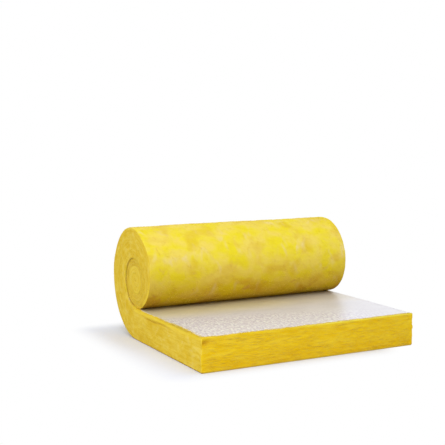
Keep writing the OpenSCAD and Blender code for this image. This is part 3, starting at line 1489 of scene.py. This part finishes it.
@dataclass(frozen=True)
class WoolFinish:
    """Finish of the glass wool: soft clouds of yellow and straw, layers and fine fibre.

    Patterns and ranges lie on the mat's own coordinates in metres: X, the way along the
    mat, and the way up from its outer side. Weights say how much each noise counts in a
    blend, and a bump is a strength and a height in metres.
    """

    # The outer side
    yellow: tuple = srgb(241, 223, 44)
    straw: tuple = srgb(243, 220, 98)
    cloud_weights: tuple = (0.62, 0.38)
    cloud_steps: tuple = (0.37, 0.62)
    # Mustard and ochre are the wool's own patches, and painted shade makes them stronger down the
    # low front
    mustard: Accent = Accent(srgb(224, 188, 58), (0.50, 0.72), 0.45, 0.50)
    cream: Accent = Accent(srgb(242, 221, 170), (0.55, 0.88), 0.85)
    ochre: Accent = Accent(srgb(220, 174, 110), (0.42, 0.24), 0.12, 0.58)
    streaks: Accent = Accent(srgb(220, 174, 110), (0.46, 0.30), 0.08)
    # Painted shade: browner down the low front of the roll, and darker again at the contact
    foot: tuple = srgb(208, 189, 126)
    contact: tuple = srgb(218, 216, 188)
    # The left and the right side
    side_deep: tuple = srgb(234, 197, 44)
    side_yellow: tuple = srgb(248, 220, 84)
    side_weights: tuple = (0.68, 0.32)
    side_steps: tuple = (0.40, 0.60)
    side_cream: Accent = Accent(srgb(242, 221, 170), (0.56, 0.74), 0.16)
    # Painted highlights on the sides: a crescent under the bend and a lip along the top edge
    side_lit: tuple = srgb(255, 226, 62)
    lit_weights: tuple = (0.65, 0.55)
    crescent_up: tuple = (0.075, 0.0)
    lip_up: tuple = (0.141, 0.155)
    lip_along: tuple = (0.82, 0.74)
    # The cut face
    cut_deep: tuple = srgb(245, 203, 2)
    cut_yellow: tuple = srgb(252, 219, 50)
    cut_weights: tuple = (0.7, 0.3)
    cut_steps: tuple = (0.38, 0.62)
    cut_cream: Accent = Accent(srgb(242, 221, 170), (0.60, 0.74), 0.08)
    # Painted shade, darker and more orange towards the floor
    cut_floor_shade: tuple = srgb(249, 242, 190)
    cut_low_up: tuple = (0.085, 0.0)
    # Painted highlight along the upper rim of the cut face
    rim: Accent = Accent(srgb(255, 240, 90), (0.158, 0.163), 0.15, 0.75)
    rim_highlight_x: tuple = (-0.2, 0.1)
    # All of it
    # Dark brown of the painted shade in the groove, the nick, the seams and along the floor's
    # edges
    torn: tuple = srgb(176, 118, 36)
    # Painted shade in the felt's pores
    pore_shade: Accent = Accent(srgb(205, 170, 100), (0.52, 0.34), 0.10, lay=Lay.TINT)
    sheen: tuple = srgb(250, 240, 190)
    roughness: tuple = (0.88, 0.1)
    band_weights: tuple = (0.40, 0.30, 0.30)
    fine_weights: tuple = (0.35, 0.65, 0.24)
    fine_bump: tuple = (0.24, 0.0018)
    broad_bump: tuple = (0.30, 0.005)
    clouds: Pattern = Pattern((0.170, 0.110, 0.09), 1.5, 0.45, 0.4)
    patches: Pattern = Pattern((0.130, 0.110, 0.06), 1.5, 0.45, 0.6, (5.0, 2.0, 6.0))
    mottle: Pattern = Pattern((0.058, 0.058, 0.03), 2.5, 0.55, 0.6, (4.0, 1.0, 7.0))
    spots: Pattern = Pattern((0.062, 0.105, 0.05), 1.6, 0.5, 0.35, (2.0, 9.0, 3.0))
    grain: Pattern = Pattern((0.0045, 0.014, 0.004), 3.0, 0.6, 1.2)
    felt: Pattern = Pattern((0.0045, 0.0045, 0.0045), 2.0, 0.7, 1.2)
    layers: Pattern = Pattern((0.22, 0.16, 0.0085), 3.0, 0.6, 0.5, (1.0, 5.0, 2.0))
    threads: Pattern = Pattern((0.14, 0.08, 0.0030), 2.0, 0.6, 0.3, (8.0, 2.0, 4.0))
    folds: Pattern = Pattern((0.20, 0.20, 0.045), 2.0, 0.5, 0.3, (3.0, 3.0, 1.0))
    wads: Pattern = Pattern((0.060, 0.060, 0.030), 2.0, 0.5, 0.8, (6.0, 4.0, 2.0))

    def skin(self, bench: Bench, place: Term, low: Term, grain: Term) -> Term:
        """Colour of the outer side.

        Broad clouds blend yellow and straw, with cream spots and mustard and ochre patches.
        Down the low front of the roll, painted shade makes the patches stronger and the whole
        colour browner, and darkens it more towards the contact.

        Args:
            bench: The material's bench.
            place: Coordinates on the mat.
            low: Mask of painted shade: a half down the low front, one at the contact.
            grain: Fine noise along the fibres.

        Returns:
            The colour.
        """
        clouds, patches = bench.noise(place, self.clouds), bench.noise(place, self.patches)
        mottle, spots = bench.noise(place, self.mottle), bench.noise(place, self.spots)
        half_shade = (low * 2).clamped()
        share = blend(self.cloud_weights, clouds, mottle).step(*self.cloud_steps)
        colour = bench.mix(share, self.yellow, self.straw)
        colour = bench.accent(colour, patches, self.mustard, half_shade)
        colour = bench.accent(colour, spots, self.cream)
        colour = bench.accent(colour, mottle, self.ochre, half_shade)
        colour = bench.accent(colour, grain, self.streaks)
        # Painted shade: browner down the low front, and darker at the contact
        colour = bench.tinted(half_shade, colour, self.foot)
        return bench.tinted((low * 2 - 1).clamped(), colour, self.contact)

    def flank(self, bench: Bench, place: Term, low: Term, bands: Term, wads: Term) -> Term:
        """Colour of the mat's sides: bands and wads, lit under the bend and along the lip.

        Args:
            bench: The material's bench.
            place: Coordinates on the mat.
            low: Mask of the low front.
            bands: Noise of layers along the mat.
            wads: Noise of rounder lumps.

        Returns:
            The colour.
        """
        share = blend(self.side_weights, bands, wads).step(*self.side_steps)
        colour = bench.mix(share, self.side_deep, self.side_yellow)
        colour = bench.accent(colour, wads, self.side_cream)
        # Painted highlights: a crescent near the outer side down the low front, and a lip along
        # the top edge of the flat end
        crescent = place.axis(2).step(*self.crescent_up) * (low * 2).clamped()
        lip = place.axis(2).step(*self.lip_up) * place.axis(1).step(*self.lip_along)
        lit = blend(self.lit_weights, crescent, lip).clamped()
        return bench.mix(lit, colour, self.side_lit)

    def face(self, bench: Bench, place: Term, bands: Term, wads: Term, threads: Term) -> Term:
        """Colour of the cut face: deep yellow bands, paler threads and a painted highlight.

        The highlight lies along the upper rim, and painted shade darkens the face towards
        the floor.

        Args:
            bench: The material's bench.
            place: Coordinates on the mat.
            bands: Noise of layers along the mat.
            wads: Noise of rounder lumps.
            threads: Noise of thin threads.

        Returns:
            The colour.
        """
        share = blend(self.cut_weights, bands, wads).step(*self.cut_steps)
        colour = bench.mix(share, self.cut_deep, self.cut_yellow)
        colour = bench.accent(colour, threads, self.cut_cream)
        # Painted shade towards the floor, and a painted highlight along the upper rim
        colour = bench.tinted(place.axis(2).step(*self.cut_low_up), colour, self.cut_floor_shade)
        return bench.accent(colour, place.axis(2), self.rim, place.axis(0).step(*self.rim_highlight_x))

    def build(self) -> bpy.types.Material:
        """Lay out the wool material on the mat's own coordinates.

        Returns:
            The material.
        """
        bench = Bench(bpy.data.materials.new("glass_wool"))
        place = bench.attribute("mat", "Vector")
        side, cut, low = (bench.attribute(name) for name in ("side", "cut", "low"))
        grain, felt = bench.noise(place, self.grain), bench.noise(place, self.felt)
        layers, threads = bench.noise(place, self.layers), bench.noise(place, self.threads)
        folds, wads = bench.noise(place, self.folds), bench.noise(place, self.wads)
        bands = blend(self.band_weights, layers, threads, folds)
        skin = self.skin(bench, place, low, grain)
        colour = bench.mix(side, skin, self.flank(bench, place, low, bands, wads))
        colour = bench.mix(cut, colour, self.face(bench, place, bands, wads, threads))
        # Painted shade: the groove, the nick, the seams and the floor's edges are tinted dark
        colour = bench.tinted(bench.attribute("shade_mark"), colour, self.torn)
        # Painted shade in the felt's pores
        colour = bench.accent(colour, felt, self.pore_shade)
        flat_side = (side + cut).clamped()
        fine = blend(self.fine_weights, felt, grain * (1 - flat_side), threads * flat_side)
        broad = folds * (1 - flat_side) + layers * flat_side
        smooth, by_felt = self.roughness
        inputs = {
            "Base Color": colour,
            "Roughness": smooth + by_felt * felt,
            "Specular IOR Level": 0.05,
            "Sheen Weight": 0.02,
            "Sheen Roughness": 0.6,
            "Sheen Tint": self.sheen,
            "Normal": bench.bump(fine, self.fine_bump, bench.bump(broad, self.broad_bump)),
        }
        return bench.finish(bench.term("BsdfPrincipled", inputs=inputs))


@dataclass(frozen=True)
class StrandFinish:
    """Finish of the loose fibres, from pale to deep yellow by each fibre's own tone."""

    pale: tuple = srgb(247, 227, 92)
    deep: tuple = srgb(236, 200, 36)
    weights: tuple = (0.8, 0.3)
    steps: tuple = (0.15, 0.95)
    roughness: tuple = (0.6, 0.2)
    patch: Pattern = Pattern((0.02, 0.02, 0.02))

    def build(self) -> bpy.types.Material:
        """Lay out the fibre material.

        Returns:
            The material.
        """
        bench = Bench(bpy.data.materials.new("loose_fibre"))
        patch = bench.noise(bench.term("TexCoord", output="Object"), self.patch)
        share = blend(self.weights, bench.attribute("tone"), patch).step(*self.steps)
        smooth, by_patch = self.roughness
        inputs = {
            "Base Color": bench.mix(share, self.deep, self.pale),
            "Roughness": smooth + by_patch * patch,
            "Specular IOR Level": 0.3,
            "Sheen Weight": 0.1,
        }
        return bench.finish(bench.term("BsdfPrincipled", inputs=inputs))


@dataclass(frozen=True)
class FoilFinish:
    """Finish of the facing: satin foil with a fine pressed grain that glitters in front.

    The grain shows near the left front corner, and its glitter is painted into the colour as
    light glints and dark shade. Behind, towards the roll, a painted reflection of the yellow
    wool tints the foil, and painted shade darkens it in the wedge under the coil. Ranges lie
    on X and on the way along the mat, shares are a mask's least strength and what a place
    adds to it, and a bump is a strength and a height in metres.
    """

    bright: tuple = srgb(236, 235, 241)
    dull: tuple = srgb(230, 229, 234)
    cloud_steps: tuple = (0.35, 0.65)
    ground: tuple = srgb(228, 224, 236)
    # Painted glints and painted shade of the pressed grain, laid into the colour in front
    glint: tuple = srgb(252, 254, 255)
    glint_steps: tuple = (0.53, 0.59)
    shade: tuple = srgb(184, 182, 194)
    shade_steps: tuple = (0.46, 0.34)
    shade_share: float = 0.5
    near_weights: tuple = (1.0, 0.28, 0.20)
    near_along: tuple = (0.49, 0.31)
    near_x: tuple = (0.60, 0.20)
    near_shares: tuple = (0.12, 0.88)
    # Painted reflection of the yellow wool on the foil towards the roll
    wool_reflection: tuple = srgb(255, 246, 198)
    behind_along: tuple = (0.36, 0.60)
    behind_x: tuple = (0.50, 0.0)
    behind_shares: tuple = (0.35, 0.65)
    # Painted shade in the wedge under the coil
    wedge: tuple = srgb(240, 232, 214)
    wedge_along: tuple = (0.665, 0.745)
    metallic: tuple = (0.32, 0.22)
    roughness: tuple = (0.28, 0.10, 0.08)
    fine_weights: tuple = (0.3, 0.7)
    fine_bump: tuple = (0.6, 0.0008)
    crease_bump: tuple = (0.25, 0.003)
    clouds: Pattern = Pattern((0.16, 0.10, 0.1), 3.0, 0.55)
    grain: Pattern = Pattern((0.0095, 0.0220, 0.008), 1.0, 0.6, 0.4)
    fine: Pattern = Pattern((0.0024, 0.0024, 0.002), 2.0, 0.6)
    creases: Pattern = Pattern((0.11, 0.045, 0.05), 2.0, 0.5, 1.6, (3.0, 7.0, 1.0))

    def build(self) -> bpy.types.Material:
        """Lay out the foil material on the sheet's own coordinates.

        Returns:
            The material.
        """
        bench = Bench(bpy.data.materials.new("satin_foil"))
        place = bench.attribute("mat", "Vector")
        x, along = place.axis(0), place.axis(1)
        clouds, grain = bench.noise(place, self.clouds), bench.noise(place, self.grain)
        fine, creases = bench.noise(place, self.fine), bench.noise(place, self.creases)
        near = blend(self.near_weights, along, x, clouds).step(*self.near_along)
        least, more = self.near_shares
        near = least + more * near * x.step(*self.near_x)
        least, more = self.behind_shares
        behind = along.step(*self.behind_along) * (least + more * x.step(*self.behind_x))
        colour = bench.mix(clouds.step(*self.cloud_steps), self.dull, self.bright)
        colour = bench.mix(near, colour, self.ground)
        # Painted glints and painted shade of the grain
        colour = bench.mix(grain.step(*self.glint_steps) * near, colour, self.glint)
        shade = grain.step(*self.shade_steps) * near * self.shade_share
        colour = bench.mix(shade, colour, self.shade)
        # Painted reflection of the wool on the foil towards the roll
        colour = bench.tinted(behind, colour, self.wool_reflection)
        # Painted shade in the wedge under the coil
        colour = bench.tinted(along.step(*self.wedge_along), colour, self.wedge)
        metal, lost = self.metallic
        smooth, by_grain, by_clouds = self.roughness
        pressed = blend(self.fine_weights, fine, grain)
        creased = bench.bump(creases, self.crease_bump)
        inputs = {
            "Base Color": colour,
            "Metallic": metal - lost * behind,
            "Roughness": smooth + by_grain * grain + by_clouds * clouds,
            "Specular IOR Level": 0.3,
            "Normal": bench.bump(pressed, self.fine_bump, creased),
        }
        return bench.finish(bench.term("BsdfPrincipled", inputs=inputs))


# The studio


@dataclass(frozen=True)
class Lamp:
    """One square soft light: its place, the point it faces, its side and its watts."""

    name: str
    place: tuple
    aim: tuple
    size: float
    power: float

    def build(self) -> None:
        """Hang the light."""
        data = bpy.data.lights.new(self.name, "AREA")
        data.shape, data.size, data.energy = "SQUARE", self.size, self.power
        made = bpy.data.objects.new(self.name, data)
        made.location = self.place
        back = np.subtract(self.place, self.aim)
        tilt = math.atan2(math.hypot(back[0], back[1]), back[2])
        made.rotation_euler = Euler((tilt, 0.0, math.atan2(back[0], -back[1])))
        bpy.context.scene.collection.objects.link(made)


@dataclass(frozen=True)
class Studio:
    """Camera, pale floor, white background and soft light.

    The camera's yaw and pitch are degrees. The floor's shadows show over a rectangle given
    by shade_middle and shade_half, and fade out around it over shade_fade.
    """

    eye: tuple = (-2.4906, -4.3097, 1.1420)
    yaw: float = 27.896
    pitch: float = 6.119
    lens: float = 77.19
    sensor: float = 36.0
    clip_end: float = 200.0
    floor_half: float = 30.0
    shade_middle: tuple = (-0.165, 0.02, 0.0)
    shade_half: tuple = (0.515, 0.52, 0.0)
    shade_fade: tuple = (-0.01, 0.17)
    floor_seen: tuple = (0.834, 0.858, 0.953, 1.0)
    floor_unseen: tuple = (0.66, 0.66, 0.67, 1.0)
    dome: tuple = (0.75, 0.75, 0.76, 1.0)
    lamps: tuple = (
        Lamp("key", (-2.8, -3.1, 3.2), (0.0, 0.0, 0.2), 3.0, 80.0),
        Lamp("top", (0.3, 0.2, 4.2), (0.0, 0.1, 0.3), 3.0, 18.0),
    )

    def camera(self) -> None:
        """Stand the camera where the photograph was taken."""
        data = bpy.data.cameras.new("camera")
        data.lens, data.sensor_width, data.clip_end = self.lens, self.sensor, self.clip_end
        made = bpy.data.objects.new("camera", data)
        made.location = self.eye
        turned = (math.radians(TURN / 4 - self.pitch), 0.0, math.radians(-self.yaw))
        made.rotation_euler = Euler(turned)
        bpy.context.scene.collection.objects.link(made)
        bpy.context.scene.camera = made

    def floor(self) -> None:
        """Lay a pale floor that keeps the shadows near the object and is plain white beyond."""
        half = self.floor_half
        mesh = bpy.data.meshes.new("floor")
        corners = [(-half, -half, 0.0), (half, -half, 0.0), (half, half, 0.0), (-half, half, 0.0)]
        mesh.from_pydata(corners, [], [(0, 1, 2, 3)])
        floor = bpy.data.objects.new("floor", mesh)
        bpy.context.scene.collection.objects.link(floor)
        mesh.materials.append(self.floor_finish())

    def floor_finish(self) -> bpy.types.Material:
        """Blend the floor's plain surface into white by the distance from the rectangle.

        Returns:
            The material.
        """
        bench = Bench(bpy.data.materials.new("floor"))
        zero = (0.0, 0.0, 0.0)
        place = bench.term("TexCoord", output="Object")
        offset = bench.vector("SUBTRACT", place, self.shade_middle)
        beyond = bench.vector("SUBTRACT", bench.vector("ABSOLUTE", offset, zero), self.shade_half)
        away = bench.vector("LENGTH", bench.vector("MAXIMUM", beyond, zero), zero, "Value")
        seen = bench.shows_white()
        colour = bench.mix(seen, self.floor_unseen, self.floor_seen)
        plain = bench.term("BsdfDiffuse", inputs={"Color": colour})
        glow = bench.term("Emission", inputs={"Color": WHITE, "Strength": 1.0})
        share = away.step(*self.shade_fade) * seen
        return bench.finish(bench.term("MixShader", inputs={0: share, 1: plain, 2: glow}))

    def world(self) -> None:
        """Show white behind the object, and light it with a softer grey dome."""
        world = bpy.data.worlds.new("studio")
        bench = Bench(world)
        colour = bench.mix(bench.shows_white(), self.dome, WHITE)
        bench.finish(bench.term("Background", inputs={"Color": colour, "Strength": 1.0}))
        bpy.context.scene.world = world

    def build(self) -> None:
        """Set up the whole studio."""
        self.camera()
        self.floor()
        self.world()
        for lamp in self.lamps:
            lamp.build()
        bpy.context.scene.view_settings.view_transform = "Standard"


# The whole roll


@dataclass
class InsulationRoll:
    """The mat, its facing and its loose fibres."""

    winding: Winding = Winding()

    def fields(self) -> list:
        """Set the fields of loose fibre, face by face.

        Returns:
            The fields.
        """
        return [
            FibreField(
                "roll_fibres", (Face.OUTER,), seed=5, count=6000, length=(0.014, 0.05),
                radius=(0.00015, 0.0003), rise=0.003, heading=62.0, spread=34.0,
            ),
            FibreField(
                "side_fibres", (Face.LEFT, Face.RIGHT), seed=6, count=6400, length=(0.014, 0.045),
                radius=(0.00015, 0.0003), rise=0.0025, heading=0.0, spread=24.0,
            ),
            FibreField(
                "cut_fibres", (Face.CUT,), seed=7, count=2600, length=(0.02, 0.07),
                radius=(0.00015, 0.00035), rise=0.0022, heading=0.0, spread=7.0,
            ),
            FibreField(
                "edge_tufts", (Face.RIM,), seed=8, count=2600, length=(0.008, 0.03),
                radius=(0.00018, 0.0004), rise=0.0045, heading=0.0, spread=35.0,
            ),
        ]

    def build(self) -> None:
        """Build and dress every piece."""
        low, _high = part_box("wool_blanket")
        track = Track(self.winding, float(low[1]))
        relief = Relief(self.winding)
        mat = WoolMat(track, relief).build()
        mat.data.materials.append(WoolFinish().build())
        foil = FoilSheet(track, relief).build()
        foil.data.materials.append(FoilFinish().build())
        strands = StrandFinish().build()
        for field in self.fields():
            field.build(track, relief).data.materials.append(strands)


def main() -> None:
    """Build the roll and its studio."""
    logging.basicConfig(level=logging.INFO, format="%(name)s %(message)s", stream=sys.stdout)
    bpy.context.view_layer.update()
    InsulationRoll().build()
    Studio().build()
    bpy.context.view_layer.update()


if __name__ == "__main__":
    main()
